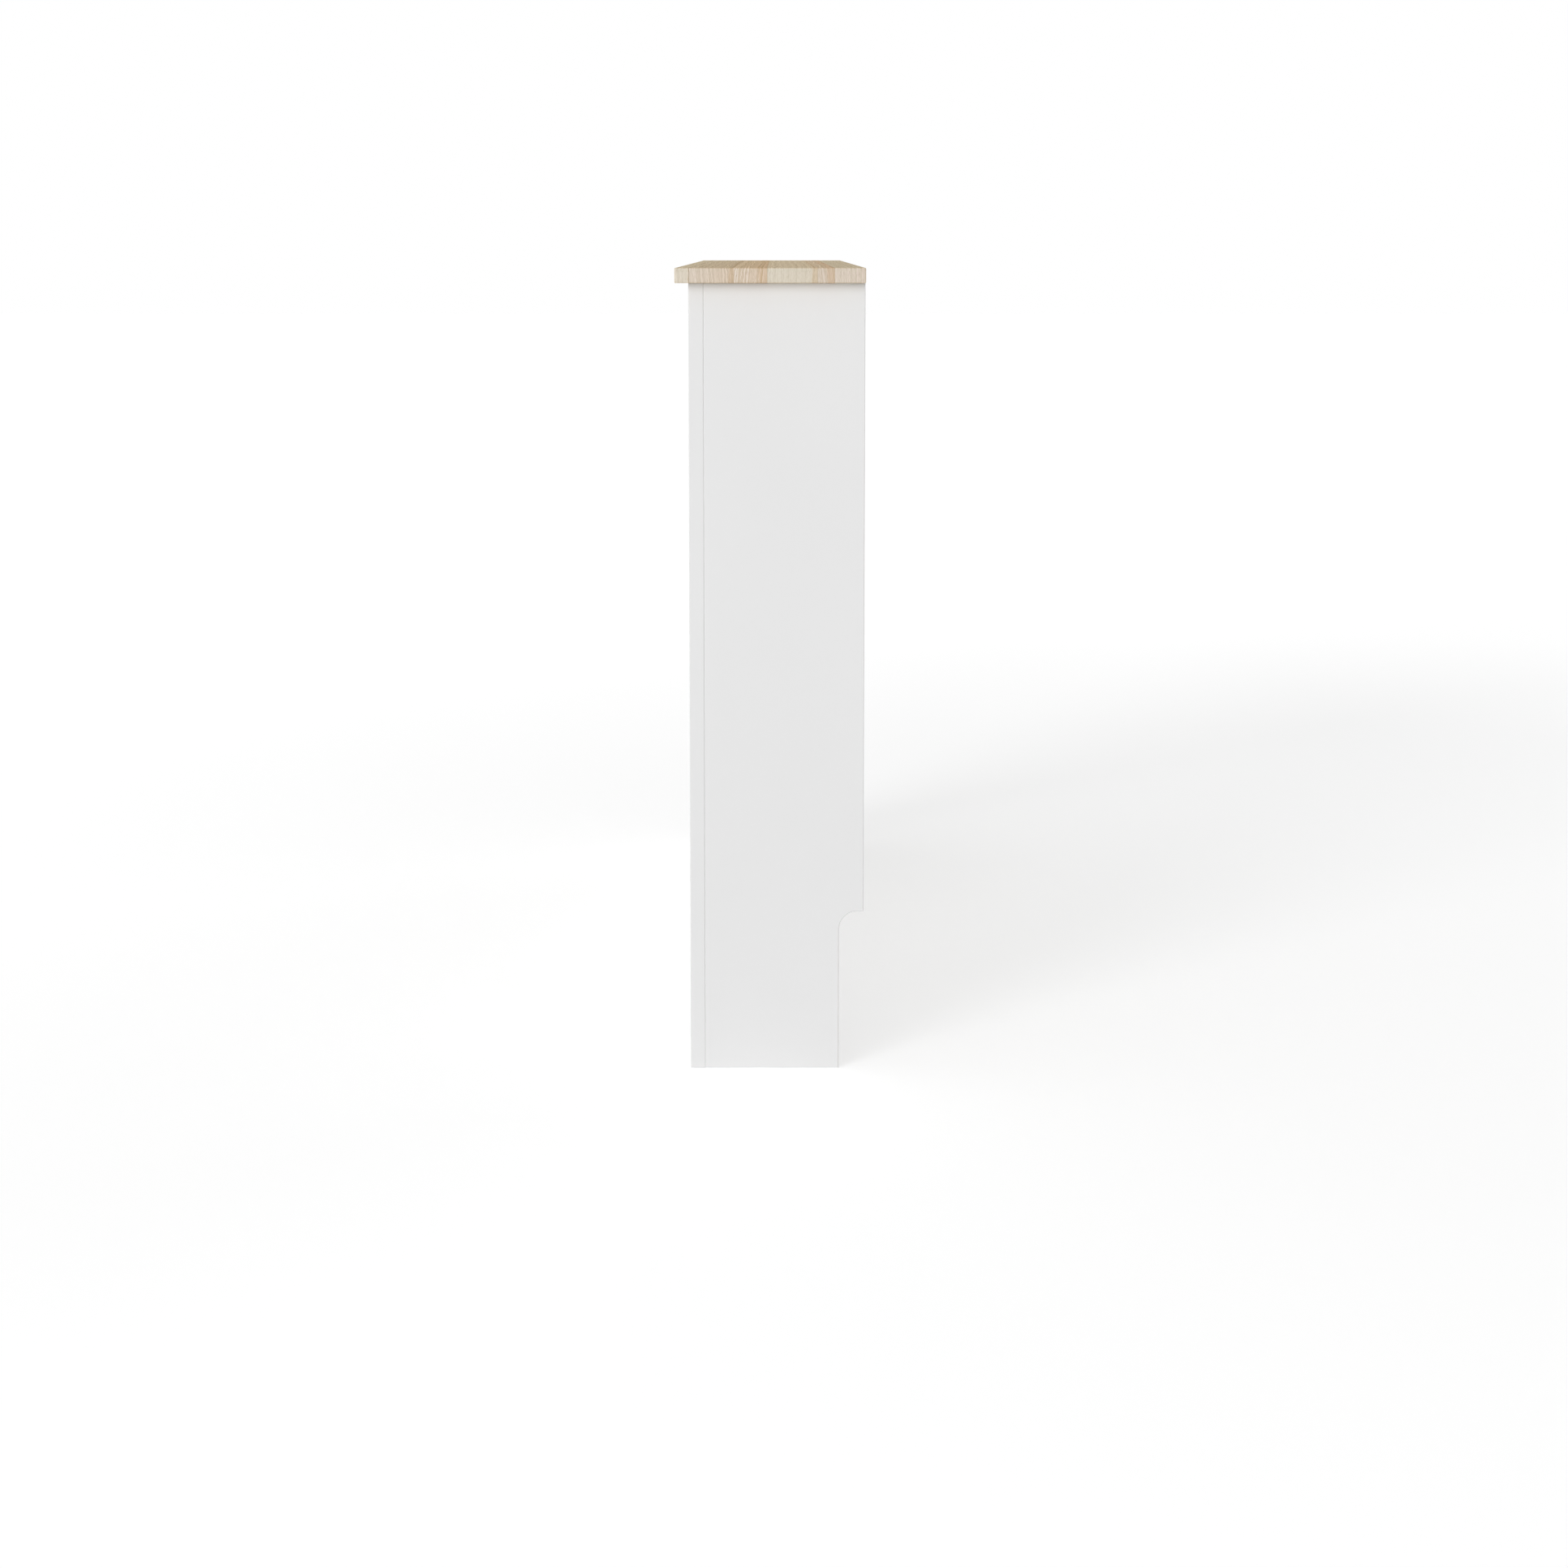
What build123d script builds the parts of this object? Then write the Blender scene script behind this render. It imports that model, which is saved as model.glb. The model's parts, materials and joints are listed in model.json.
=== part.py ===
from build123d import *
import os

os.makedirs("parts", exist_ok=True)

# A free-standing cover for a wall radiator: white painted MDF sides and a slatted front, under an oak top.
# X runs along the wall, Y from the front towards the wall and Z up. The origin is on the floor, midway
# between the ends, and midway between the front edge of the top and the wall. All sizes are millimetres.

# Overall sizes
top_length = 1120.0
cover_height = 820.0
body_depth = 177.0  # from the painted front face to the wall
top_front_overhang = 13.0
top_side_overhang = 20.0

# Board thicknesses
top_thickness = 15.0
panel_thickness = 15.0
frame_thickness = 15.0
rear_rail_thickness = 15.0

# Oak top: staves glued edge to edge, from the front. The widest one, the fourth, takes what is left.
front_stave_widths = (14.0, 45.0, 33.0)
back_stave_widths = (17.0, 31.0)
oak_edge_round = 1.0

# Side panels: cut away at the foot, to clear a skirting board
notch_depth = 25.0
notch_height = 165.0
notch_radius = 20.0
paint_edge_round = 0.8

# Front frame
stile_width = 110.0
top_rail_height = 90.0
bottom_rail_height = 75.0
floor_gap = 30.0  # air slot under the bottom rail

# Slats: their ends lie in a rebate along the back of each rail
slat_count = 21
slat_width = 20.0
slat_thickness = 9.0
slat_edge_round = 1.5
rebate_height = 10.0
slat_end_gap = 0.3

# Batten behind the slats
batten_height = 40.0
batten_thickness = 9.0
batten_lap = 60.0  # how far it reaches over each stile

# Rear rail, under the top and against the wall
rear_rail_height = 70.0

# Beech dowels
dowel_length = 30.0
dowel_radius = 4.0
dowel_chamfer = 1.0
face_skin = 4.0  # wood left behind a bore in the face of a board
dowel_end_room = 0.5
fit = 0.05  # radial room round each dowel, bolt, cam and screw

# Cam fittings: a bolt in the face of one board, and a cam that grips its head in the edge of the other
cam_radius = 7.5
cam_setback = 24.0  # joint face to the cam's axis
cam_skin = 2.5  # wood left behind the cam
cam_floor_room = 0.5
bolt_thread_radius = 2.5
bolt_shank_radius = 3.0
bolt_neck_radius = 1.75
bolt_head_radius = 3.25
bolt_head_length = 3.6
cam_grip_room = 0.6  # room round the bolt's neck and head inside the cam
recess_length = 8.0
recess_width = 1.6
recess_depth = 2.0

# Where the fittings stand
front_fitting_margin = 80.0  # lowest and highest cam on a panel's front edge
front_fitting_count = 3
cam_to_dowel = 32.0
top_cam_to_dowel = 24.0  # along a panel's top edge, clear of the joints between staves
top_fitting_margin = 35.0  # cams on a panel's top edge, from its front and back
rear_fitting_margin = 20.0  # from the rear rail's lower and upper edge
rail_dowel_margin = 22.0  # dowels in a front rail's ends, from its edges
top_rail_dowel_margin = 100.0
rear_rail_dowel_margin = 150.0
rear_rail_dowel_count = 3

# Screws and brads
screw_radius = 1.75
screw_head_radius = 3.5
screw_tip_length = 3.0
screw_recess_length = 3.6
screw_recess_width = 0.9
screw_recess_depth = 1.2
screw_skin = 3.0  # wood left beyond a tip
batten_screw_inset = 15.0  # from the batten's end
batten_screw_margin = 12.0  # from the batten's upper and lower edge
brad_radius = 0.7
brad_head_radius = 1.3
brad_head_length = 0.8
brad_skin = 2.0

# Plastic corner blocks, between the front's top rail and the top
block_count = 3
block_length = 34.0
block_size = 22.0
block_wall = 5.0
block_bevel = 9.0
block_screw_spread = 16.0
block_end_margin = 200.0

# Steel wall brackets, in the back corners under the rear rail
bracket_sheet = 2.0
bracket_reach = 35.0
bracket_height = 50.0
bracket_bend_radius = 1.0  # inside the bend
bracket_corner_radius = 4.0
bracket_drop = 5.0  # below the rear rail
bracket_hole_spacing = 30.0
bracket_hole_inset = 13.0  # from the end of each leg
wall_hole_radius = 2.75

# Planes that the boards meet at
half_top = top_length / 2
half_body = half_top - top_side_overhang
half_inside = half_body - panel_thickness
half_opening = half_body - stile_width
wall_y = (body_depth + top_front_overhang) / 2
top_front_y = -wall_y
front_y = wall_y - body_depth
frame_back_y = front_y + frame_thickness
frame_mid_y = front_y + frame_thickness / 2
rear_rail_front_y = wall_y - rear_rail_thickness
rear_rail_mid_y = wall_y - rear_rail_thickness / 2
under_top_z = cover_height - top_thickness
opening_bottom_z = floor_gap + bottom_rail_height
opening_top_z = under_top_z - top_rail_height
rear_rail_z = under_top_z - rear_rail_height
batten_mid_z = (opening_bottom_z + opening_top_z) / 2
bracket_top_z = rear_rail_z - bracket_drop
bracket_mid_z = bracket_top_z - bracket_height / 2
slat_gap = (2 * half_opening - slat_count * slat_width) / (slat_count + 1)
SIDES = {"left": -1, "right": 1}


def block(x0, x1, y0, y1, z0, z1):
    """A box between two opposite corners."""
    centre = Pos((x0 + x1) / 2, (y0 + y1) / 2, (z0 + z1) / 2)
    return centre * Box(x1 - x0, y1 - y0, z1 - z0)


def eased(shape, radius):
    """The shape with every edge rounded, as a sanded and painted board has."""
    return fillet(shape.edges(), radius)


def spread(low, high, count):
    """Evenly spaced values from low to high."""
    return [low + (high - low) * i / (count - 1) for i in range(count)]


def mirrored_pair(inner):
    """A place on each side of the middle."""
    return [-inner, inner]


def rod(seat, radius, start, end):
    """A cylinder along a seat's axis, from start to end."""
    return seat.location * Pos(0, 0, (start + end) / 2) * Cylinder(radius, end - start)


def group(shapes):
    """Identical pieces that share one node."""
    return Compound(children=[piece for shape in shapes for piece in shape.solids()])


# Seats. Each is a plane on the joint face, whose Z points into the edge of the second board and whose X
# points out of the face that the cam is turned from.


def stile_seats(side, lift):
    """Down the joint between a stile's back and a side panel's front edge."""
    heights = spread(front_fitting_margin, under_top_z - front_fitting_margin, front_fitting_count)
    x = side * (half_body - panel_thickness / 2)
    return [Plane(origin=(x, frame_back_y, z + lift), x_dir=(-side, 0, 0), z_dir=(0, 1, 0)) for z in heights]


def panel_top_seats(side, shift):
    """Along the joint between the top's underside and a side panel's top edge."""
    front = frame_back_y + top_fitting_margin + shift
    back = wall_y - top_fitting_margin - shift
    x = side * (half_body - panel_thickness / 2)
    return [Plane(origin=(x, y, under_top_z), x_dir=(-side, 0, 0), z_dir=(0, 0, -1)) for y in (front, back)]


def rear_rail_seat(side, height):
    """At the joint between a side panel's inner face and the rear rail's end."""
    origin = (side * half_inside, rear_rail_mid_y, rear_rail_z + height)
    return Plane(origin=origin, x_dir=(0, 1, 0), z_dir=(-side, 0, 0))


def top_edge_seats(y, places):
    """Along the joint between the top's underside and a rail's top edge."""
    return [Plane(origin=(x, y, under_top_z), x_dir=(0, 1, 0), z_dir=(0, 0, -1)) for x in places]


def frame_seats(side, rail_low, rail_high):
    """At the joint between a stile's inner edge and a front rail's end."""
    heights = (rail_low + rail_dowel_margin, rail_high - rail_dowel_margin)
    x = side * half_opening
    return [Plane(origin=(x, frame_mid_y, z), x_dir=(0, 1, 0), z_dir=(-side, 0, 0)) for z in heights]


rear_cam_height = rear_fitting_margin
rear_dowel_height = rear_rail_height - rear_fitting_margin
stile_middle = half_body - stile_width / 2
top_rail_top_seats = top_edge_seats(frame_mid_y, mirrored_pair(half_opening - top_rail_dowel_margin))
rear_rail_reach = half_inside - rear_rail_dowel_margin
rear_rail_top_seats = top_edge_seats(
    rear_rail_mid_y, spread(-rear_rail_reach, rear_rail_reach, rear_rail_dowel_count)
)


# Dowels


def dowel(seat, face_depth):
    """A dowel, sunk face_depth into the first board."""
    body = rod(seat, dowel_radius, -face_depth, dowel_length - face_depth)
    ends = body.edges().filter_by(GeomType.CIRCLE)
    return chamfer(ends, dowel_chamfer)


def dowel_bore(seat, face_depth):
    start = -face_depth - dowel_end_room
    end = dowel_length - face_depth + dowel_end_room
    return rod(seat, dowel_radius + fit, start, end)


# Cam fittings


def cam_bolt(seat, face_depth):
    """Thread, shank, neck and head on one axis."""
    neck_start = cam_setback - cam_radius - cam_grip_room
    head_start = cam_setback - bolt_head_length / 2
    thread = rod(seat, bolt_thread_radius, -face_depth, 0)
    shank = rod(seat, bolt_shank_radius, 0, neck_start)
    neck = rod(seat, bolt_neck_radius, neck_start, head_start)
    head = rod(seat, bolt_head_radius, head_start, head_start + bolt_head_length)
    return thread + shank + neck + head


def cam_cylinder(seat, radius, board, length):
    """A cylinder across the bolt, from the face of the board that the cam is turned from."""
    along_x = Rot(0, 90, 0)
    place = Pos(board / 2 - length / 2, 0, cam_setback)
    return seat.location * place * along_x * Cylinder(radius, length)


def cam_disc(seat, board):
    """The cam, with its grip on the bolt and a cross recess for the screwdriver."""
    length = board - cam_skin - cam_floor_room
    head_room = bolt_head_length / 2 + cam_grip_room
    neck_slot = rod(seat, bolt_neck_radius + cam_grip_room, cam_setback - 2 * cam_radius, cam_setback)
    grip_room = bolt_head_radius + cam_grip_room
    head_pocket = rod(seat, grip_room, cam_setback - head_room, cam_setback + head_room)
    face = seat.location * Pos(board / 2 - recess_depth / 2, 0, cam_setback)
    cross = [
        face * Box(recess_depth, recess_length, recess_width),
        face * Box(recess_depth, recess_width, recess_length),
    ]
    return cam_cylinder(seat, cam_radius, board, length) - [neck_slot, head_pocket] - cross


def cam_bore(seat, face_depth, board):
    """The bores for one bolt and its cam, in both boards."""
    return [
        rod(seat, bolt_thread_radius + fit, -face_depth, 0),
        rod(seat, bolt_head_radius + fit, 0, cam_setback),
        cam_cylinder(seat, cam_radius + fit, board, board - cam_skin),
    ]


# Screws and brads stand on a seat whose Z points out of the surface that they are driven from.


def screw_shape(seat, length, room):
    """A countersunk screw with its head flush, or with room the bore for one."""
    shank_radius = screw_radius + room
    head_radius = screw_head_radius + room
    head_length = head_radius - shank_radius
    shank_end = length - screw_tip_length
    head = Pos(0, 0, -head_length / 2) * Cone(shank_radius, head_radius, head_length)
    shank = Pos(0, 0, -(head_length + shank_end) / 2) * Cylinder(shank_radius, shank_end - head_length)
    tip = Pos(0, 0, -shank_end - screw_tip_length / 2) * Cone(room, shank_radius, screw_tip_length)
    return seat.location * (head + shank + tip)


def screw(seat, length):
    face = seat.location * Pos(0, 0, -screw_recess_depth / 2)
    cross = [
        face * Box(screw_recess_length, screw_recess_width, screw_recess_depth),
        face * Box(screw_recess_width, screw_recess_length, screw_recess_depth),
    ]
    return screw_shape(seat, length, 0) - cross


def screw_bore(seat, length):
    return screw_shape(seat, length, fit)


def brad(seat, length):
    return rod(seat, brad_radius, -length, 0) + rod(seat, brad_head_radius, -brad_head_length, 0)


def brad_bore(seat, length):
    bore = rod(seat, brad_radius + fit, -length - fit, 0)
    return bore + rod(seat, brad_head_radius + fit, -brad_head_length, 0)


# Depths that follow from the boards
stile_depth = frame_thickness - face_skin
top_depth = top_thickness - face_skin
panel_depth = panel_thickness - face_skin
frame_dowel_depth = dowel_length / 2
batten_screw_length = batten_thickness + frame_thickness - screw_skin
block_rail_screw_length = block_wall + frame_thickness - screw_skin
block_top_screw_length = block_wall + top_thickness - screw_skin
bracket_screw_length = bracket_sheet + panel_thickness - screw_skin
slat_brad_length = frame_thickness - brad_skin
batten_brad_length = batten_thickness + slat_thickness - brad_skin


# Top


def top_board():
    """The glued board, drilled from below."""
    slab = block(-half_top, half_top, top_front_y, wall_y, under_top_z, cover_height)
    bores = [dowel_bore(seat, top_depth) for seat in top_rail_top_seats + rear_rail_top_seats]
    for side in SIDES.values():
        bores += [dowel_bore(seat, top_depth) for seat in panel_top_seats(side, top_cam_to_dowel)]
        bores += [dowel_bore(seat, top_depth) for seat in top_edge_seats(frame_mid_y, [side * stile_middle])]
        for seat in panel_top_seats(side, 0):
            bores += cam_bore(seat, top_depth, panel_thickness)
    for seat in block_top_seats():
        bores.append(screw_bore(seat, block_top_screw_length))
    return eased(slab, oak_edge_round) - bores


def stave_lines():
    """The Y of every joint between staves, with the board's front and back edge."""
    lines = [top_front_y]
    for width in front_stave_widths:
        lines.append(lines[-1] + width)
    back_lines = [wall_y]
    for width in reversed(back_stave_widths):
        back_lines.append(back_lines[-1] - width)
    return lines + back_lines[::-1]


def save_staves():
    whole = top_board()
    lines = stave_lines()
    for number, (front, back) in enumerate(zip(lines, lines[1:]), 1):
        slice_box = block(-half_top, half_top, front, back, under_top_z, cover_height)
        export_step(whole & slice_box, f"parts/top_stave_{number}.step")


# Side panels


def side_panel(side):
    """A panel with its skirting notch, and the bores for the front, the top, the rear rail and the bracket."""
    foot_back = wall_y - notch_depth
    outline = Polyline(
        (frame_back_y, 0),
        (foot_back, 0),
        (foot_back, notch_height),
        (wall_y, notch_height),
        (wall_y, under_top_z),
        (frame_back_y, under_top_z),
        close=True,
    )
    face = make_face(outline)
    notch_corner = face.vertices().sort_by_distance((foot_back, notch_height, 0))[0]
    face = fillet(notch_corner, notch_radius)
    board = extrude(Plane.YZ * face, amount=panel_thickness)
    board = Pos(min(side * half_inside, side * half_body), 0, 0) * board
    board = eased(board, paint_edge_round)
    bores = [dowel_bore(seat, stile_depth) for seat in stile_seats(side, cam_to_dowel)]
    bores += [dowel_bore(seat, top_depth) for seat in panel_top_seats(side, top_cam_to_dowel)]
    bores.append(dowel_bore(rear_rail_seat(side, rear_dowel_height), panel_depth))
    for seat in stile_seats(side, 0):
        bores += cam_bore(seat, stile_depth, panel_thickness)
    for seat in panel_top_seats(side, 0):
        bores += cam_bore(seat, top_depth, panel_thickness)
    bores += cam_bore(rear_rail_seat(side, rear_cam_height), panel_depth, rear_rail_thickness)
    bores += [screw_bore(seat, bracket_screw_length) for seat in bracket_screw_seats(side)]
    return board - bores


# Front frame


def stile(side):
    """An upright of the front, from the floor to the top."""
    edges = sorted((side * half_opening, side * half_body))
    board = eased(block(*edges, front_y, frame_back_y, 0, under_top_z), paint_edge_round)
    bores = [dowel_bore(seat, stile_depth) for seat in stile_seats(side, cam_to_dowel)]
    bores += [dowel_bore(seat, frame_dowel_depth) for seat in frame_dowel_seats(side)]
    bores += [dowel_bore(seat, top_depth) for seat in top_edge_seats(frame_mid_y, [side * stile_middle])]
    for seat in stile_seats(side, 0):
        bores += cam_bore(seat, stile_depth, panel_thickness)
    bores += [screw_bore(seat, batten_screw_length) for seat in batten_screw_seats(side)]
    return board - bores


def frame_dowel_seats(side):
    low = frame_seats(side, floor_gap, opening_bottom_z)
    return low + frame_seats(side, opening_top_z, under_top_z)


def rail(low, high, rebate_low, bores):
    """A cross rail of the front, with the rebate that the slat ends lie in."""
    board = eased(block(-half_opening, half_opening, front_y, frame_back_y, low, high), paint_edge_round)
    lip_back = frame_back_y - slat_thickness
    reach = half_opening + paint_edge_round
    rebate = block(-reach, reach, lip_back, frame_back_y, rebate_low, rebate_low + rebate_height)
    return board - rebate - bores


def top_rail():
    bores = [dowel_bore(seat, top_depth) for seat in top_rail_top_seats]
    for side in SIDES.values():
        seats = frame_seats(side, opening_top_z, under_top_z)
        bores += [dowel_bore(seat, frame_dowel_depth) for seat in seats]
    bores += [screw_bore(seat, block_rail_screw_length) for seat in block_rail_seats()]
    bores += [brad_bore(seat, slat_brad_length) for seat in slat_brad_seats(opening_top_z + rebate_height / 2)]
    return rail(opening_top_z, under_top_z, opening_top_z, bores)


def bottom_rail():
    bores = []
    for side in SIDES.values():
        seats = frame_seats(side, floor_gap, opening_bottom_z)
        bores += [dowel_bore(seat, frame_dowel_depth) for seat in seats]
    low_row = opening_bottom_z - rebate_height / 2
    bores += [brad_bore(seat, slat_brad_length) for seat in slat_brad_seats(low_row)]
    return rail(floor_gap, opening_bottom_z, opening_bottom_z - rebate_height, bores)


# Slats


def slat_middle(number):
    """The X of a slat's middle, counted from the left."""
    return -half_opening + number * (slat_gap + slat_width) - slat_width / 2


slat_middles = [slat_middle(number) for number in range(1, slat_count + 1)]


def slat_brad_seats(z):
    return [Plane(origin=(x, frame_back_y, z), z_dir=(0, 1, 0)) for x in slat_middles]


def batten_brad_seats():
    y = frame_back_y + batten_thickness
    return [Plane(origin=(x, y, batten_mid_z), z_dir=(0, 1, 0)) for x in slat_middles]


def slat(middle):
    """One slat, its back flush with the back of the frame, pinned at both ends and to the batten."""
    reach = rebate_height - slat_end_gap
    low = opening_bottom_z - reach
    high = opening_top_z + reach
    y0 = frame_back_y - slat_thickness
    board = block(middle - slat_width / 2, middle + slat_width / 2, y0, frame_back_y, low, high)
    board = fillet(board.edges().filter_by(Axis.Z), slat_edge_round)
    low_row = Plane(origin=(middle, frame_back_y, opening_bottom_z - rebate_height / 2), z_dir=(0, 1, 0))
    high_row = Plane(origin=(middle, frame_back_y, opening_top_z + rebate_height / 2), z_dir=(0, 1, 0))
    batten_row = Plane(origin=(middle, frame_back_y + batten_thickness, batten_mid_z), z_dir=(0, 1, 0))
    ends = [brad_bore(seat, slat_brad_length) for seat in (low_row, high_row)]
    return board - ends - brad_bore(batten_row, batten_brad_length)


def batten():
    """The strip behind the slats that keeps them in line, screwed to both stiles."""
    reach = half_opening + batten_lap
    back = frame_back_y + batten_thickness
    low = batten_mid_z - batten_height / 2
    board = eased(block(-reach, reach, frame_back_y, back, low, low + batten_height), paint_edge_round)
    bores = [brad_bore(seat, batten_brad_length) for seat in batten_brad_seats()]
    for side in SIDES.values():
        bores += [screw_bore(seat, batten_screw_length) for seat in batten_screw_seats(side)]
    return board - bores


def batten_screw_seats(side):
    x = side * (half_opening + batten_lap - batten_screw_inset)
    rise = batten_height / 2 - batten_screw_margin
    y = frame_back_y + batten_thickness
    return [Plane(origin=(x, y, batten_mid_z + dz), z_dir=(0, 1, 0)) for dz in (-rise, rise)]


# Rear rail and what holds the cover to the top and the wall


def rear_rail():
    board = block(-half_inside, half_inside, rear_rail_front_y, wall_y, rear_rail_z, under_top_z)
    bores = [dowel_bore(seat, top_depth) for seat in rear_rail_top_seats]
    for side in SIDES.values():
        bores.append(dowel_bore(rear_rail_seat(side, rear_dowel_height), panel_depth))
        bores += cam_bore(rear_rail_seat(side, rear_cam_height), panel_depth, rear_rail_thickness)
    return eased(board, paint_edge_round) - bores


def block_middles():
    reach = half_opening - block_end_margin
    return spread(-reach, reach, block_count)


def block_rail_seats():
    """Where the blocks' level screws are driven from, into the top rail."""
    y = frame_back_y + block_wall
    z = under_top_z - block_size / 2
    return [Plane(origin=(x - block_screw_spread / 2, y, z), z_dir=(0, 1, 0)) for x in block_middles()]


def block_top_seats():
    """Where the blocks' upright screws are driven from, into the top."""
    y = frame_back_y + block_size / 2
    z = under_top_z - block_wall
    return [Plane(origin=(x + block_screw_spread / 2, y, z), z_dir=(0, 0, -1)) for x in block_middles()]


def corner_block(middle, rail_seat, top_seat):
    """A plastic block with a wall under each screw and a wide hole to reach it through."""
    back = frame_back_y + block_size
    low = under_top_z - block_size
    body = block(
        middle - block_length / 2, middle + block_length / 2, frame_back_y, back, low, under_top_z
    )
    free_edge = body.edges().filter_by(Axis.X).sort_by_distance((middle, back, low))[0]
    body = chamfer(free_edge, block_bevel)
    holes = [
        screw_bore(rail_seat, block_rail_screw_length),
        rod(rail_seat, screw_head_radius + cam_grip_room, 0, block_size),
        screw_bore(top_seat, block_top_screw_length),
        rod(top_seat, screw_head_radius + cam_grip_room, 0, block_size),
    ]
    return body - holes


def bracket_screw_seats(side):
    x = side * (half_inside - bracket_sheet)
    y = wall_y - bracket_reach + bracket_hole_inset
    rise = bracket_hole_spacing / 2
    return [Plane(origin=(x, y, bracket_mid_z + dz), z_dir=(-side, 0, 0)) for dz in (-rise, rise)]


def wall_bracket(side):
    """A bent steel angle: one leg on the side panel, the other flat on the wall."""
    corner_x = side * half_inside
    end_x = side * (half_inside - bracket_reach)
    end_y = wall_y - bracket_reach
    inner_x = side * (half_inside - bracket_sheet)
    inner_y = wall_y - bracket_sheet
    outline = Polyline(
        (corner_x, wall_y),
        (end_x, wall_y),
        (end_x, inner_y),
        (inner_x, inner_y),
        (inner_x, end_y),
        (corner_x, end_y),
        close=True,
    )
    face = make_face(outline)
    inner_corner = face.vertices().sort_by_distance((inner_x, inner_y, 0))[0]
    face = fillet(inner_corner, bracket_bend_radius)
    outer_corner = face.vertices().sort_by_distance((corner_x, wall_y, 0))[0]
    face = fillet(outer_corner, bracket_bend_radius + bracket_sheet)
    angle = Pos(0, 0, bracket_top_z - bracket_height) * extrude(face, amount=bracket_height)
    wall_leg_corners = angle.edges().filter_by(Axis.Y).group_by(SortBy.LENGTH)[0]
    wall_leg_corners = [edge for edge in wall_leg_corners if abs(edge.center().X - end_x) < fit]
    panel_leg_corners = angle.edges().filter_by(Axis.X)
    panel_leg_corners = [edge for edge in panel_leg_corners if abs(edge.center().Y - end_y) < fit]
    angle = fillet(wall_leg_corners + panel_leg_corners, bracket_corner_radius)
    wall_x = side * (half_inside - bracket_reach + bracket_hole_inset)
    holes = [screw_bore(seat, bracket_screw_length) for seat in bracket_screw_seats(side)]
    for rise in mirrored_pair(bracket_hole_spacing / 2):
        seat = Plane(origin=(wall_x, wall_y, bracket_mid_z + rise), z_dir=(0, 1, 0))
        holes.append(rod(seat, wall_hole_radius, -2 * bracket_sheet, bracket_sheet))
    return angle - holes


# Write every piece
save_staves()
for name, side in SIDES.items():
    export_step(side_panel(side), f"parts/side_panel_{name}.step")
    export_step(stile(side), f"parts/front_stile_{name}.step")
    export_step(wall_bracket(side), f"parts/wall_bracket_{name}.step")
export_step(top_rail(), "parts/front_top_rail.step")
export_step(bottom_rail(), "parts/front_bottom_rail.step")
export_step(rear_rail(), "parts/rear_rail.step")
export_step(batten(), "parts/slat_batten.step")
for number, middle in enumerate(slat_middles, 1):
    export_step(slat(middle), f"parts/slat_{number:02d}.step")

panel_dowels, frame_dowels, top_dowels = [], [], []
cam_bolts, cam_discs = [], []
for side in SIDES.values():
    panel_dowels += [dowel(seat, stile_depth) for seat in stile_seats(side, cam_to_dowel)]
    panel_dowels.append(dowel(rear_rail_seat(side, rear_dowel_height), panel_depth))
    frame_dowels += [dowel(seat, frame_dowel_depth) for seat in frame_dowel_seats(side)]
    top_dowels += [dowel(seat, top_depth) for seat in panel_top_seats(side, top_cam_to_dowel)]
    top_dowels += [dowel(seat, top_depth) for seat in top_edge_seats(frame_mid_y, [side * stile_middle])]
    for seat in stile_seats(side, 0):
        cam_bolts.append(cam_bolt(seat, stile_depth))
        cam_discs.append(cam_disc(seat, panel_thickness))
    for seat in panel_top_seats(side, 0):
        cam_bolts.append(cam_bolt(seat, top_depth))
        cam_discs.append(cam_disc(seat, panel_thickness))
    rear_seat = rear_rail_seat(side, rear_cam_height)
    cam_bolts.append(cam_bolt(rear_seat, panel_depth))
    cam_discs.append(cam_disc(rear_seat, rear_rail_thickness))
top_dowels += [dowel(seat, top_depth) for seat in top_rail_top_seats + rear_rail_top_seats]
export_step(group(panel_dowels), "parts/panel_dowels.step")
export_step(group(frame_dowels), "parts/frame_dowels.step")
export_step(group(top_dowels), "parts/top_dowels.step")
export_step(group(cam_bolts), "parts/cam_bolts.step")
export_step(group(cam_discs), "parts/cam_discs.step")

low_row = opening_bottom_z - rebate_height / 2
high_row = opening_top_z + rebate_height / 2
slat_brads = [brad(seat, slat_brad_length) for seat in slat_brad_seats(low_row) + slat_brad_seats(high_row)]
batten_brads = [brad(seat, batten_brad_length) for seat in batten_brad_seats()]
batten_screws = [screw(seat, batten_screw_length) for side in SIDES.values() for seat in batten_screw_seats(side)]
bracket_screws = [
    screw(seat, bracket_screw_length) for side in SIDES.values() for seat in bracket_screw_seats(side)
]
block_screws = [screw(seat, block_rail_screw_length) for seat in block_rail_seats()]
block_screws += [screw(seat, block_top_screw_length) for seat in block_top_seats()]
corner_blocks = [
    corner_block(*places) for places in zip(block_middles(), block_rail_seats(), block_top_seats())
]
export_step(group(slat_brads), "parts/slat_brads.step")
export_step(group(batten_brads), "parts/batten_brads.step")
export_step(group(batten_screws), "parts/batten_screws.step")
export_step(group(bracket_screws), "parts/bracket_screws.step")
export_step(group(block_screws), "parts/block_screws.step")
export_step(group(corner_blocks), "parts/corner_blocks.step")
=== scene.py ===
# %% [markdown]
# # A radiator cover with an oak top
# The cover is a plain piece of furniture: white painted fibreboard sides, a front of upright slats, and
# a light oak board on top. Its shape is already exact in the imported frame, so nothing here moves or
# resizes a board. What makes it look real is its surfaces: sprayed paint, oak with its grain and
# its end grain, and the few bits of metal that hold it together. So this lesson is mostly about materials,
# light and the camera.

# %% Load the frame
import json
import math

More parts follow.
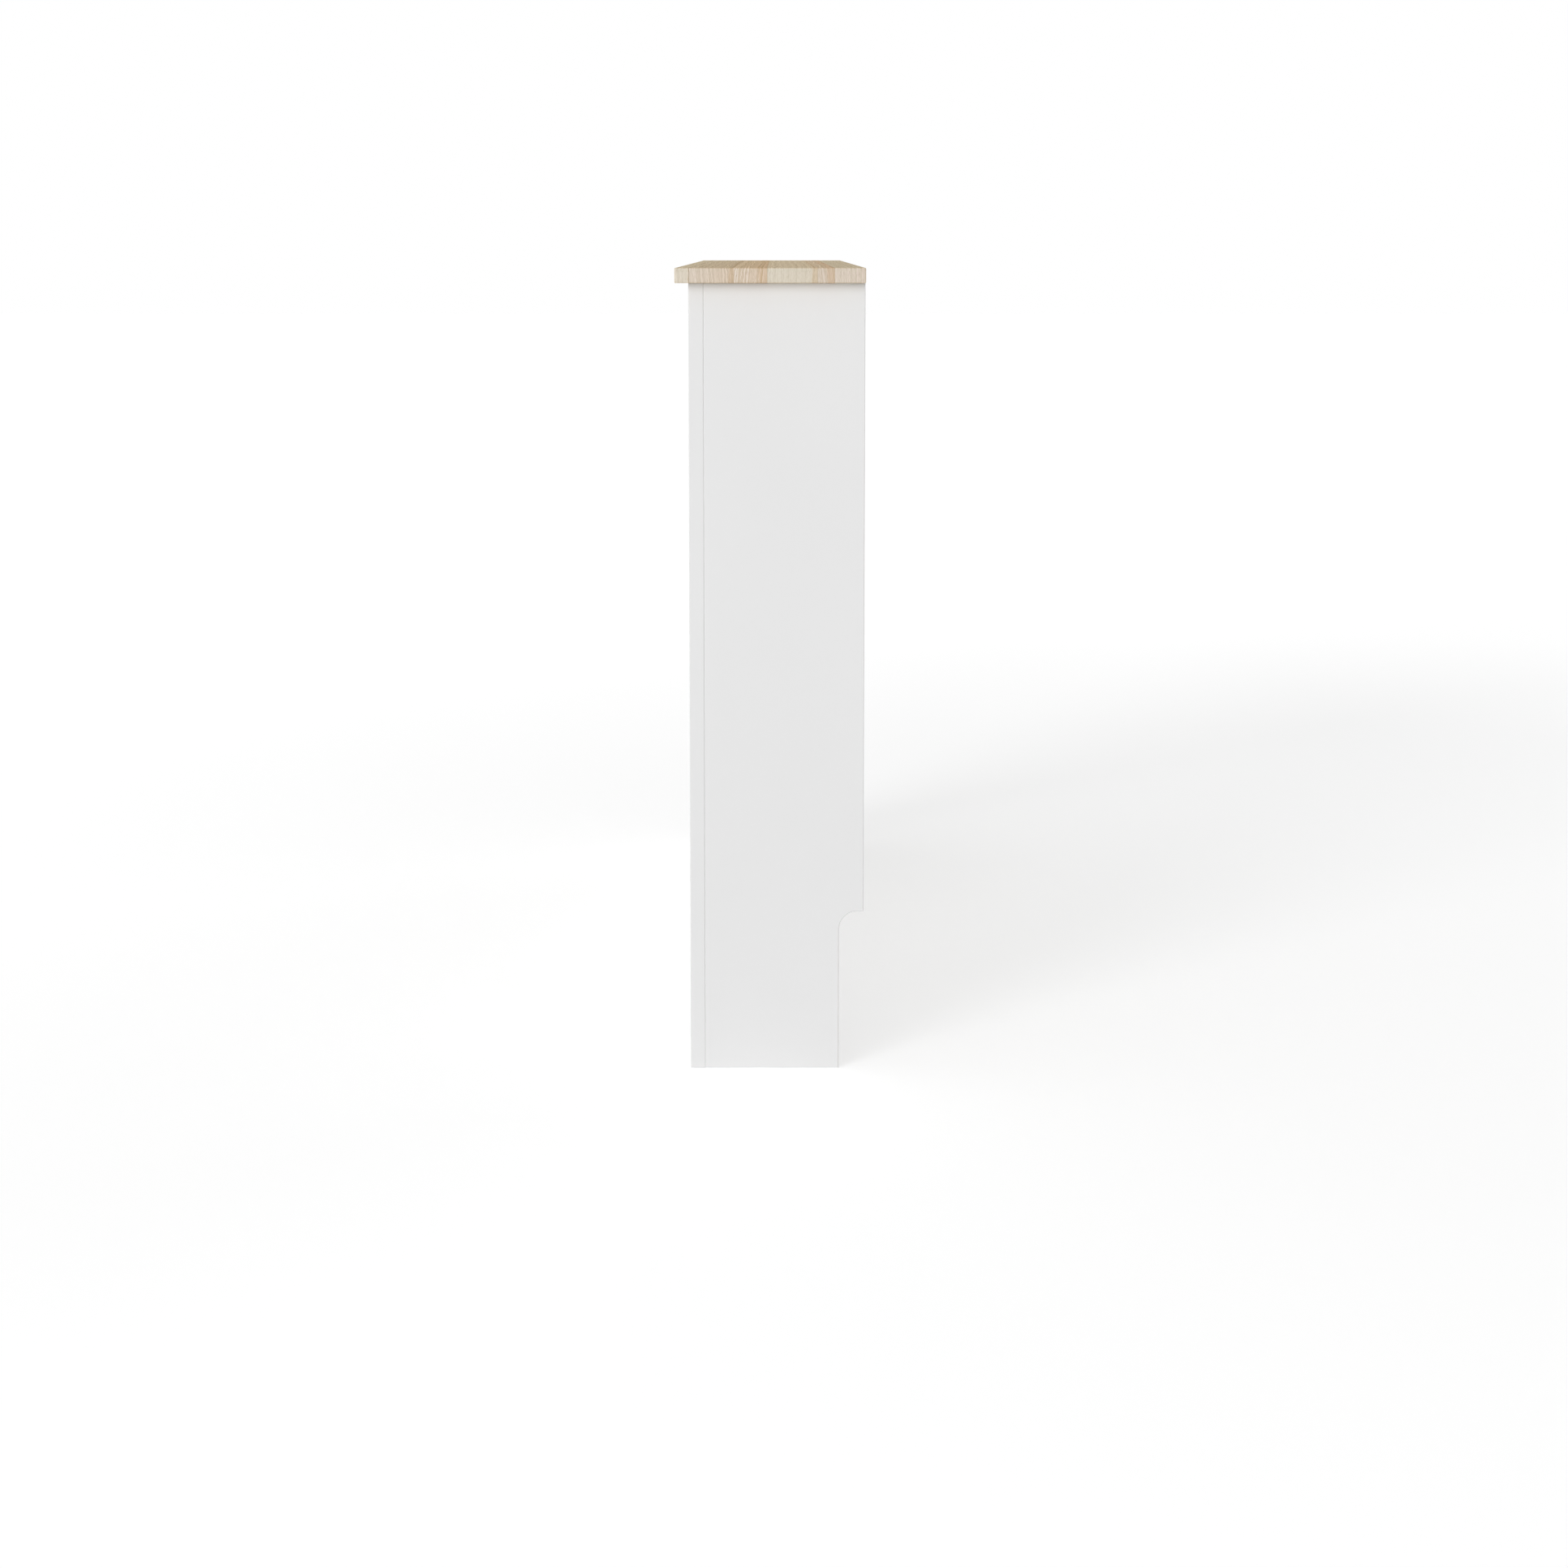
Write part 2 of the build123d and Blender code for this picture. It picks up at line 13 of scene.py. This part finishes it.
import bmesh
import bpy
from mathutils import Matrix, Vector

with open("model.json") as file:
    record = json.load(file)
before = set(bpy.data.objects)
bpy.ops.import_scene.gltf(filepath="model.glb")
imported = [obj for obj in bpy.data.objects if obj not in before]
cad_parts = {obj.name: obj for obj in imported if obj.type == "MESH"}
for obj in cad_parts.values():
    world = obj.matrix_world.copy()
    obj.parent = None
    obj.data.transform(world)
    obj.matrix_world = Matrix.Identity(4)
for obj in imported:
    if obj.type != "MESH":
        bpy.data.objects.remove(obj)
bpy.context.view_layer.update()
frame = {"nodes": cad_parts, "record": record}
MM = 0.001

# %% [markdown]
# ## Camera
# The picture looks along the cover at its right-hand end. The camera stands about 26 mm higher than the
# top's surface, which shows as a thin strip, and far enough back that the far end looks seven tenths as
# wide as the near one. A camera that looks straight ahead and is only shifted down would keep every
# upright edge upright, but the shift would then be a third of the picture, and would push the cover out
# of any other view. So most of the drop is a tilt of a few degrees, and the rest is a small shift. The
# uprights still lean by less than a quarter of a degree.

# %% Camera
CAMERA_PLACE = Vector((3.3520, 0.0052, 0.8457))
CAMERA_TILT = math.radians(6.598)
CAMERA_LENS = 64.40
CAMERA_SHIFT = (0.0054, -0.1389)

camera_data = bpy.data.cameras.new("camera")
camera_data.lens = CAMERA_LENS
camera_data.sensor_width = 36
camera_data.shift_x, camera_data.shift_y = CAMERA_SHIFT
camera = bpy.data.objects.new("camera", camera_data)
camera.location = CAMERA_PLACE
camera.rotation_euler = (math.pi / 2 - CAMERA_TILT, 0, math.pi / 2)
bpy.context.scene.collection.objects.link(camera)
bpy.context.scene.camera = camera
bpy.context.scene.view_settings.view_transform = "Standard"

# %% [markdown]
# ## Helpers for materials
# Colours are given as sRGB hex values, but a shader works in linear light, so one function turns one
# into the other. A second one adds a node: its settings are plain keywords, and each input is
# given either a value or the output that feeds it.


# %% Colour and node helpers
def linear(hex_colour):
    """The linear colour, with alpha, of an sRGB hex value."""
    channels = [int(hex_colour[i : i + 2], 16) / 255 for i in (1, 3, 5)]
    return [c / 12.92 if c <= 0.04045 else ((c + 0.055) / 1.055) ** 2.4 for c in channels] + [1.0]


def add(tree, kind, inputs=None, **settings):
    """A new node with its settings, and its inputs set or linked."""
    node = tree.nodes.new("ShaderNode" + kind)
    for name, value in settings.items():
        setattr(node, name, value)
    for socket, value in (inputs or {}).items():
        if isinstance(value, bpy.types.NodeSocket):
            tree.links.new(value, node.inputs[socket])
        else:
            node.inputs[socket].default_value = value
    return node


def new_material(name):
    """An empty node material with its output, and the object's coordinates in millimetres."""
    material = bpy.data.materials.new(name)
    material.use_nodes = True
    tree = material.node_tree
    tree.nodes.clear()
    output = add(tree, "OutputMaterial")
    place = add(tree, "TexCoord")
    in_mm = add(tree, "VectorMath", {0: place.outputs["Object"], "Scale": 1 / MM}, operation="SCALE")
    return material, tree, output, in_mm.outputs["Vector"]


print("mid grey #808080 in linear light:", round(linear("#808080")[0], 3))

# %% [markdown]
# ## Light
# The long pale shadows on the floor show two lamps. The main one is large, soft and low, in front of the
# cover and to its right, so the shadow of the near end runs back and away from it. A weaker one is behind
# the camera. It is lower still, almost level, because the panel is barely darker under the overhang of
# the top. A third lamp, very soft and behind the cover, keeps its back from going dark. Area lamps could
# cast the same shadows, but their light falls off with distance, and the floor would darken. So all three
# are sun lamps with a wide angle, which light it evenly.
#
# The rest is a white room, whose light is ROOM_LEVEL on average. In front of the cover and to its right it
# is brighter by up to ROOM_SLOPE of that, and on the opposite side dimmer by as much, because in the photo
# the floor behind the near end is nearly as dark as the panel. Camera rays, and rays that see the room in
# a reflection or through something clear, find it pure white.


# %% Lamps and world
def sun(name, heading, height, strength, width):
    """A sun lamp. Its light goes heading degrees from +Y towards -X, and comes from height degrees up."""
    data = bpy.data.lights.new(name, "SUN")
    data.energy = strength
    data.angle = math.radians(width)
    lamp = bpy.data.objects.new(name, data)
    lamp.rotation_euler = (math.radians(90 - height), 0, math.radians(heading))
    bpy.context.scene.collection.objects.link(lamp)
    return lamp


def seeing_rays(tree):
    """1 for a ray from the camera, from a reflection or through something clear, and 0 for any other."""
    rays = add(tree, "LightPath").outputs
    seen = rays["Is Camera Ray"]
    for kind in ("Is Glossy Ray", "Is Transmission Ray"):
        seen = add(tree, "Math", {0: seen, 1: rays[kind]}, operation="MAXIMUM").outputs[0]
    return seen


lamps = [
    sun("key_light", heading=54, height=12.5, strength=1.13, width=26),
    sun("camera_light", heading=80, height=5, strength=0.6, width=24),
    sun("back_light", heading=225, height=8, strength=0.6, width=40),
]

ROOM_LEVEL = 0.44
ROOM_SLOPE = 0.45
BRIGHT_SIDE = Vector((1, -1, 0)).normalized()

world = bpy.data.worlds.new("white_room")
world.use_nodes = True
bpy.context.scene.world = world
tree = world.node_tree
tree.nodes.clear()
toward = {0: add(tree, "TexCoord").outputs["Generated"], 1: BRIGHT_SIDE}
side = add(tree, "VectorMath", toward, operation="DOT_PRODUCT").outputs["Value"]
slope = {"Value": side, "From Min": -1.0, "To Min": 1 - ROOM_SLOPE, "To Max": 1 + ROOM_SLOPE}
sloped = add(tree, "MapRange", slope).outputs["Result"]
walls = add(tree, "Math", {0: sloped, 1: ROOM_LEVEL}, operation="MULTIPLY").outputs[0]
shown = {"Value": seeing_rays(tree), "To Min": walls, "To Max": 1.0}
level = add(tree, "MapRange", shown).outputs["Result"]
room = add(tree, "Background", {"Color": linear("#ffffff"), "Strength": level})
add(tree, "OutputWorld", {"Surface": room.outputs["Background"]})
print("lamps:", [lamp.name for lamp in lamps], "room level:", ROOM_LEVEL)

# %% [markdown]
# ## Floor
# The floor is a plain white sheet that melts into the white room. A matt white surface by itself would
# come out grey beside it, because a floor gets little from such low lamps. So it has a glow that lights
# nothing and is only seen: its lit parts reach the room's white, and shadows still fall on it. The glow
# rises between 1.2 and 2.4 m from the middle of the shadow, so that no line shows where the floor ends and
# the room begins.

# %% Floor
FLOOR_SIZE = 60.0
GLOW = {"To Min": 0.402, "To Max": 0.45}
GLOW_RISE = {"From Min": 1200.0, "From Max": 2400.0}
SHADOW_MIDDLE = (-300.0, 800.0, 0.0)

floor_mesh = bmesh.new()
bmesh.ops.create_grid(floor_mesh, x_segments=1, y_segments=1, size=FLOOR_SIZE / 2)
floor_data = bpy.data.meshes.new("floor")
floor_mesh.to_mesh(floor_data)
floor_mesh.free()
floor = bpy.data.objects.new("floor", floor_data)
bpy.context.scene.collection.objects.link(floor)

floor_material, tree, output, place = new_material("pale_studio_floor")
away = add(tree, "VectorMath", {0: place, 1: SHADOW_MIDDLE}, operation="DISTANCE").outputs["Value"]
rising = add(tree, "MapRange", {"Value": away} | GLOW_RISE | GLOW).outputs["Result"]
glow_level = add(tree, "Math", {0: seeing_rays(tree), 1: rising}, operation="MULTIPLY").outputs[0]
glow = add(tree, "Emission", {"Color": linear("#ffffff"), "Strength": glow_level})
white = add(tree, "BsdfDiffuse", {"Color": linear("#ffffff")})
lit = add(tree, "AddShader", {0: white.outputs[0], 1: glow.outputs[0]})
tree.links.new(lit.outputs[0], output.inputs["Surface"])
floor_data.materials.append(floor_material)
print("floor in metres:", FLOOR_SIZE)

# %% [markdown]
# ## White paint on fibreboard
# The sides, the front and the slats are medium density fibreboard with a sprayed satin acrylic paint. One
# even white with one even gloss would look like plastic. Close up, such paint has a fine orange peel, drawn
# here at 2.5 mm so that it shows, and its white drifts by a hair from place to place. It has no grain: that
# is what tells it from painted wood.


# %% Paint
PEEL_SIZE = 2.5
PEEL_HEIGHT = 0.05
DRIFT_SIZE = 140
PAINT_ROUGHNESS = {"To Min": 0.40, "To Max": 0.50}


def satin_paint():
    """White satin acrylic, sprayed on fibreboard."""
    material, tree, output, place = new_material("satin_acrylic_on_fibreboard")
    drift = add(tree, "TexNoise", {"Vector": place, "Scale": 1 / DRIFT_SIZE, "Detail": 2.0}).outputs["Fac"]
    whites = {"Factor": drift, "A": linear("#e3e3e3"), "B": linear("#e6e6e6")}
    peel = add(tree, "TexNoise", {"Vector": place, "Scale": 1 / PEEL_SIZE, "Detail": 1.0}).outputs["Fac"]
    bump = add(tree, "Bump", {"Height": peel, "Strength": 0.12, "Distance": PEEL_HEIGHT * MM})
    surface = {
        "Base Color": add(tree, "Mix", whites, data_type="RGBA").outputs["Result"],
        "Roughness": add(tree, "MapRange", {"Value": peel} | PAINT_ROUGHNESS).outputs["Result"],
        "IOR": 1.47,
        "Normal": bump.outputs["Normal"],
    }
    tree.links.new(add(tree, "BsdfPrincipled", surface).outputs[0], output.inputs["Surface"])
    return material


finishes = {"white_painted_mdf": satin_paint()}
print("nodes in the paint:", len(finishes["white_painted_mdf"].node_tree.nodes))

# %% [markdown]
# ## Oak
# The top is an edge-glued board of six staves, each from its own tree. A flat pattern of oak could be laid
# on each face, but its lines wouldn't meet at the edges: in wood the same rings show on the top and on the
# sawn end. So the pattern here is solid. Each stave has its own pith, the centre of the tree's rings, at
# some distance to its side, and the distance from that pith gives all its lines: long straight ones on the
# top and nearly upright ones on the end, as quarter-sawn oak has. No tree is straight, so two noises bend
# the place of each point first: a broad one, and a fine one that changes every few millimetres across the
# board but hardly along it. Rings are 2 to 3 mm wide in real oak. The finer lines inside one are drawn at
# 1.1 mm, so that they show.

# %% Oak grain
RING_WIDTH = 2.6
LINE_WIDTH = 1.1
LINE_SHARE = 0.55
GRAIN_SPREAD = {"From Min": 0.36, "From Max": 0.64}
BROAD_BEND = {"length": 260.0, "width": 60.0, "amount": 11.0}
FINE_BEND = {"length": 400.0, "width": 4.0, "amount": 1.8}


def bent(tree, place, start):
    """The place of each point in a straight tree. start slides the bends along, in mm."""
    moved = place
    for bend in (BROAD_BEND, FINE_BEND):
        length, width, amount = bend["length"], bend["width"], bend["amount"]
        scale = (1 / length, 1 / width, 1 / width)
        slide = (start / length, 0, 0)
        fitted = add(tree, "Mapping", {"Vector": place, "Location": slide, "Scale": scale})
        noise = add(tree, "TexNoise", {"Vector": fitted.outputs[0], "Scale": 1.0, "Detail": 1.5})
        about_zero = {0: noise.outputs["Color"], 1: (0, amount, amount), 2: (0, -amount / 2, -amount / 2)}
        shift = add(tree, "VectorMath", about_zero, operation="MULTIPLY_ADD")
        moved = add(tree, "VectorMath", {0: moved, 1: shift.outputs[0]}, operation="ADD").outputs[0]
    return moved


def ring_noise(tree, radius, width):
    """Rings of about one width, as a noise over the distance from the pith."""
    across_rings = {"W": radius, "Scale": 1 / width, "Detail": 1.5}
    return add(tree, "TexNoise", across_rings, noise_dimensions="1D").outputs[0]


def grain_lines(tree, grown, pith):
    """The rings round a pith at (Y, Z), from 0 where the wood is pale to 1 where it is dark."""
    from_pith = {"Vector": grown, "Location": (0, -pith[0], -pith[1]), "Scale": (0, 1, 1)}
    centred = add(tree, "Mapping", from_pith)
    radius = add(tree, "VectorMath", {0: centred.outputs[0]}, operation="LENGTH").outputs["Value"]
    both = {
        "Factor": LINE_SHARE,
        "A": ring_noise(tree, radius, RING_WIDTH),
        "B": ring_noise(tree, radius, LINE_WIDTH),
    }
    mixed = add(tree, "Mix", both, data_type="FLOAT").outputs["Result"]
    spread = {"Value": mixed} | GRAIN_SPREAD
    return add(tree, "MapRange", spread, interpolation_type="SMOOTHSTEP").outputs["Result"]


print("rings in mm:", RING_WIDTH, "lines inside them:", LINE_WIDTH)

# %% [markdown]
# Three smaller things make it oak rather than just any wood. Its pores show as short dark dashes along the
# grain, and on the sawn ends, where they are cut across, as fine broken rows that follow the rings. Its
# rays, which run out from the pith, show on the top as pale flecks across the grain. And most staves turn
# tan towards their back edge, as heartwood does, often ending in a darker band. Real pores are 0.3 mm
# wide. They are drawn at 1.2 mm along the board and 0.8 mm on its ends, so that they show.

# %% Oak pores, rays and heartwood
LONG_PORES = {"size": (11.0, 1.2, 1.2), "low": 0.56, "high": 0.68}
CUT_PORES = {"size": (40.0, 0.8, 5.0), "low": 0.50, "high": 0.92}
RAYS = {"size": (2.4, 15.0, 15.0), "low": 0.58, "high": 0.72, "warp": 1.2}
BAND_EDGE = 1.5
GLUE_LINE = 0.5


def dashes(tree, place, size, low, high, warp=0.0):
    """Scattered dashes of one size in mm: 0 where a noise is under low, and 1 where it is over high."""
    stretched = add(tree, "Mapping", {"Vector": place, "Scale": [1 / length for length in size]})
    scattered = {"Vector": stretched.outputs[0], "Scale": 1.0, "Detail": 1.0, "Distortion": warp}
    noise = add(tree, "TexNoise", scattered)
    spread = {"Value": noise.outputs["Fac"], "From Min": low, "From Max": high}
    return add(tree, "MapRange", spread).outputs["Result"]


def heartwood(tree, across, front, back, rise, band):
    """How tan a stave is: it rises from its front edge, and is full in a band along its back edge."""
    slope = add(tree, "MapRange", {"Value": across, "From Min": front, "From Max": back, "To Max": rise})
    start = back - band
    edge = {"Value": across, "From Min": start - BAND_EDGE / 2, "From Max": start + BAND_EDGE / 2}
    in_band = add(tree, "MapRange", edge, interpolation_type="SMOOTHSTEP")
    darker = {0: slope.outputs["Result"], 1: in_band.outputs["Result"]}
    return add(tree, "Math", darker, operation="MAXIMUM").outputs[0]


print("pores in mm:", LONG_PORES["size"], "on the ends:", CUT_PORES["size"], "rays:", RAYS["size"])

# %% [markdown]
# The end of a stave is sawn across its fibres and looks paler and pinker here than its long faces, so each
# stave has a second pair of tones where its surface faces along X. Oiled oak is matt. Its pores and the
# soft part of each ring lie a little lower than the rest.

# %% Oiled oak
HEART_TINT = "#f5eadc"
PORE_TINT = "#c6b8a2"
PORE_STRENGTH = 0.6
RAY_TINT = "#e8dcc4"
RAY_STRENGTH = 0.22
GLUE_TINT = "#9a8464"
OAK_RELIEF = 0.1
OAK_ROUGHNESS = {"To Min": 0.6, "To Max": 0.72}
SAWN_FACE = {"From Min": 0.6, "From Max": 0.9}


def reach(node, axis):
    """The lowest and highest coordinate of a piece in mm along an axis, 0 for X to 2 for Z."""
    places = [corner[axis] / MM for corner in frame["nodes"][node].bound_box]
    return min(places), max(places)


BOARD_MIDDLE = sum(reach("top_stave_1", 2)) / 2


def oiled_oak(name, front, back, stave):
    """The oak of one stave, whose edges are at front and back in mm."""
    material, tree, output, place = new_material(name)
    lean = math.radians(stave["lean"])
    middle = (front + back) / 2
    pith = (middle + stave["pith"] * math.cos(lean), BOARD_MIDDLE + stave["pith"] * math.sin(lean))
    grown = bent(tree, place, stave["start"])
    grain = grain_lines(tree, grown, pith)
    long_pores = dashes(tree, place, **LONG_PORES)
    cut_pores = dashes(tree, grown, **CUT_PORES)
    rays = dashes(tree, grown, **RAYS)
    across = add(tree, "SeparateXYZ", {0: place}).outputs["Y"]
    across_grown = add(tree, "SeparateXYZ", {0: grown}).outputs["Y"]
    tan = heartwood(tree, across_grown, front, back, stave["rise"], stave["band"])

    normal = add(tree, "SeparateXYZ", {0: add(tree, "NewGeometry").outputs["Normal"]})
    facing_x = add(tree, "Math", {0: normal.outputs["X"]}, operation="ABSOLUTE")
    facing_z = add(tree, "Math", {0: normal.outputs["Z"]}, operation="ABSOLUTE")
    sawn = add(tree, "MapRange", {"Value": facing_x.outputs[0]} | SAWN_FACE).outputs["Result"]
    tones = []
    for pale, dark in (stave["long"], stave["end"]):
        shades = {"Factor": grain, "A": linear(pale), "B": linear(dark)}
        tones.append(add(tree, "Mix", shades, data_type="RGBA").outputs["Result"])
    faces = {"Factor": sawn, "A": tones[0], "B": tones[1]}
    colour = add(tree, "Mix", faces, data_type="RGBA").outputs["Result"]
    pore_kinds = {"Factor": sawn, "A": long_pores, "B": cut_pores}
    pores = add(tree, "Mix", pore_kinds, data_type="FLOAT").outputs["Result"]

    on_top = add(tree, "Math", {0: rays, 1: facing_z.outputs[0]}, operation="MULTIPLY").outputs[0]
    glue_edge = {"Value": across, "From Min": front + GLUE_LINE, "From Max": front}
    glue = add(tree, "MapRange", glue_edge).outputs["Result"]
    layers = (
        (tan, 1.0, HEART_TINT, "MULTIPLY"),
        (pores, PORE_STRENGTH, PORE_TINT, "MULTIPLY"),
        (on_top, RAY_STRENGTH, RAY_TINT, "MIX"),
        (glue, stave["glue"], GLUE_TINT, "MULTIPLY"),
    )
    for mask, strength, tint, blend in layers:
        share = add(tree, "Math", {0: mask, 1: strength}, operation="MULTIPLY").outputs[0]
        layer = {"Factor": share, "A": colour, "B": linear(tint)}
        colour = add(tree, "Mix", layer, data_type="RGBA", blend_type=blend).outputs["Result"]

    low_parts = add(tree, "Math", {0: grain, 1: pores}, operation="ADD").outputs[0]
    relief = {"Height": low_parts, "Strength": 0.3, "Distance": OAK_RELIEF * MM}
    bump = add(tree, "Bump", relief, invert=True)
    surface = {
        "Base Color": colour,
        "Roughness": add(tree, "MapRange", {"Value": grain} | OAK_ROUGHNESS).outputs["Result"],
        "IOR": 1.45,
        "Specular IOR Level": 0.2,
        "Normal": bump.outputs["Normal"],
    }
    tree.links.new(add(tree, "BsdfPrincipled", surface).outputs[0], output.inputs["Surface"])
    return material


print("middle of the board above the floor, in mm:", round(BOARD_MIDDLE, 1))

# %% [markdown]
# The six staves, from the front edge to the wall. start slides their bends along the board, in mm. pith
# says how far from a stave's middle its rings have their centre in mm, and on which side, and lean how
# many degrees they lean. rise says how tan it gets towards its back edge, band how wide the darker band is
# there in mm, and glue how dark the glue line is along its front edge. end and long are the pale and the
# dark tone of its grain, on its sawn ends and on its long faces.

# %% The six staves
STAVES = {
    "top_stave_1": {
        "start": 0, "pith": -190, "lean": 4, "rise": 0.1, "band": 0, "glue": 0.0,
        "end": ("#e2d9ca", "#d8cfbe"), "long": ("#efdebe", "#d5c097"),
    },
    "top_stave_2": {
        "start": 900, "pith": -160, "lean": 9, "rise": 0.55, "band": 5, "glue": 1.0,
        "end": ("#e4d8cb", "#cfc1ae"), "long": ("#eddab9", "#ccb48b"),
    },
    "top_stave_3": {
        "start": 2100, "pith": 170, "lean": -6, "rise": 0.7, "band": 8, "glue": 0.3,
        "end": ("#e5dacf", "#cebca3"), "long": ("#f2d9b2", "#cfb285"),
    },
    "top_stave_4": {
        "start": 3300, "pith": 260, "lean": 1, "rise": 0.15, "band": 4, "glue": 0.3,
        "end": ("#ded6c7", "#d5ccba"), "long": ("#f2dfbd", "#d8c199"),
    },
    "top_stave_5": {
        "start": 4700, "pith": -140, "lean": 3, "rise": 0.4, "band": 8, "glue": 0.3,
        "end": ("#ded2c6", "#cfc0ac"), "long": ("#f5debd", "#d4b890"),
    },
    "top_stave_6": {
        "start": 5900, "pith": 210, "lean": -3, "rise": 0.1, "band": 0, "glue": 0.3,
        "end": ("#e1d4c8", "#d2c6b4"), "long": ("#eddcbd", "#d3bf97"),
    },
}

oak = {}
for node, stave in STAVES.items():
    front, back = reach(node, 1)
    oak[node] = oiled_oak("oiled_oak_" + node[-1], front, back, stave)
    print(node, "from", round(front), "to", round(back), "mm")

# %% [markdown]
# ## Turned beech
# The dowels are plain turned beech, without any finish: dry, even and light brown. They hardly show, so one
# noise is enough for them. The fibres of beech are about 0.1 mm wide, and are drawn here at 0.8 mm.

# %% Beech
FIBRE_SIZE = 0.8


def plain_beech():
    """Bare beech, turned to a dowel."""
    material, tree, output, place = new_material("turned_beech")
    fibres = add(tree, "TexNoise", {"Vector": place, "Scale": 1 / FIBRE_SIZE, "Detail": 2.0}).outputs["Fac"]
    tones = {"Factor": fibres, "A": linear("#dcb98a"), "B": linear("#bf935f")}
    colour = add(tree, "Mix", tones, data_type="RGBA").outputs["Result"]
    surface = {"Base Color": colour, "Roughness": 0.65, "IOR": 1.5}
    tree.links.new(add(tree, "BsdfPrincipled", surface).outputs[0], output.inputs["Surface"])
    return material


finishes["beech_dowel"] = plain_beech()
print("finishes so far:", list(finishes))

# %% [markdown]
# ## Zinc and steel
# These parts are seen only from behind and from below. The cams are die-cast zinc, a dull grey with a
# grainy skin. Screws, bolts and pins are zinc plated steel, brighter and smoother. Their relief is too
# fine to model, so one noise makes both the relief and the gloss of each. Its grains are far finer than
# can be seen from here, and are drawn at 0.5 mm on the cams and 0.3 mm on the steel. The wall brackets are
# galvanised sheet, whose zinc crystals, the spangle, show as flat patches about 6 mm wide, each with its
# own grey and its own gloss.

# %% Metals
GLOSS_DRIFT = 0.08
SPANGLE_SIZE = 6.0


def metal(name, hex_colour, roughness, grain_size, grain_height):
    """A bare metal whose gloss and relief come from one noise, with its sizes in mm."""
    material, tree, output, place = new_material(name)
    grains = add(tree, "TexNoise", {"Vector": place, "Scale": 1 / grain_size, "Detail": 2.0}).outputs["Fac"]
    gloss = {"Value": grains, "To Min": roughness - GLOSS_DRIFT, "To Max": roughness + GLOSS_DRIFT}
    bump = add(tree, "Bump", {"Height": grains, "Strength": 0.4, "Distance": grain_height * MM})
    surface = {
        "Base Color": linear(hex_colour),
        "Metallic": 1.0,
        "Roughness": add(tree, "MapRange", gloss).outputs["Result"],
        "Normal": bump.outputs["Normal"],
    }
    tree.links.new(add(tree, "BsdfPrincipled", surface).outputs[0], output.inputs["Surface"])
    return material


def galvanised_sheet():
    """Steel sheet with a spangled zinc coat."""
    material, tree, output, place = new_material("galvanised_steel_sheet")
    spangle = add(tree, "TexVoronoi", {"Vector": place, "Scale": 1 / SPANGLE_SIZE})
    patch = add(tree, "SeparateColor", {0: spangle.outputs["Color"]})
    greys = {"Factor": patch.outputs["Red"], "A": linear("#a9adb1"), "B": linear("#c6c9cc")}
    gloss = {"Value": patch.outputs["Green"], "To Min": 0.32, "To Max": 0.50}
    surface = {
        "Base Color": add(tree, "Mix", greys, data_type="RGBA").outputs["Result"],
        "Metallic": 1.0,
        "Roughness": add(tree, "MapRange", gloss).outputs["Result"],
    }
    tree.links.new(add(tree, "BsdfPrincipled", surface).outputs[0], output.inputs["Surface"])
    return material


finishes["zinc_cam"] = metal("die_cast_zinc", "#a9abad", 0.48, grain_size=0.5, grain_height=0.05)
finishes["plated_steel"] = metal("zinc_plated_steel", "#c3c5c7", 0.30, grain_size=0.3, grain_height=0.02)
finishes["galvanised_sheet"] = galvanised_sheet()
print("finishes so far:", list(finishes))

# %% [markdown]
# ## Moulded plastic
# The corner blocks are moulded polypropylene. A spark-eroded mould leaves a fine even grain on it, about
# 0.1 mm in real life and drawn at 0.6 mm, which takes the shine off an otherwise smooth white.

# %% Plastic
SPARK_SIZE = 0.6
SPARK_HEIGHT = 0.05


def moulded_plastic():
    """White polypropylene from a spark-eroded mould."""
    material, tree, output, place = new_material("moulded_polypropylene")
    spark = add(tree, "TexNoise", {"Vector": place, "Scale": 1 / SPARK_SIZE, "Detail": 1.0}).outputs["Fac"]
    whites = {"Factor": spark, "A": linear("#e9e9e6"), "B": linear("#f1f1ee")}
    bump = add(tree, "Bump", {"Height": spark, "Strength": 0.2, "Distance": SPARK_HEIGHT * MM})
    surface = {
        "Base Color": add(tree, "Mix", whites, data_type="RGBA").outputs["Result"],
        "Roughness": 0.5,
        "IOR": 1.49,
        "Normal": bump.outputs["Normal"],
    }
    tree.links.new(add(tree, "BsdfPrincipled", surface).outputs[0], output.inputs["Surface"])
    return material


finishes["block_plastic"] = moulded_plastic()
print("finishes so far:", list(finishes))

# %% [markdown]
# ## Finishing the pieces
# The record says which slot each piece takes its finish from, so one loop dresses them all. Only the
# staves take theirs by name, because no two are alike.

# %% Assign the finishes
for row in frame["record"]["subparts"]:
    mesh = frame["nodes"][row["node"]].data
    mesh.materials.clear()
    mesh.materials.append(oak.get(row["node"]) or finishes[row["material_slot"]])
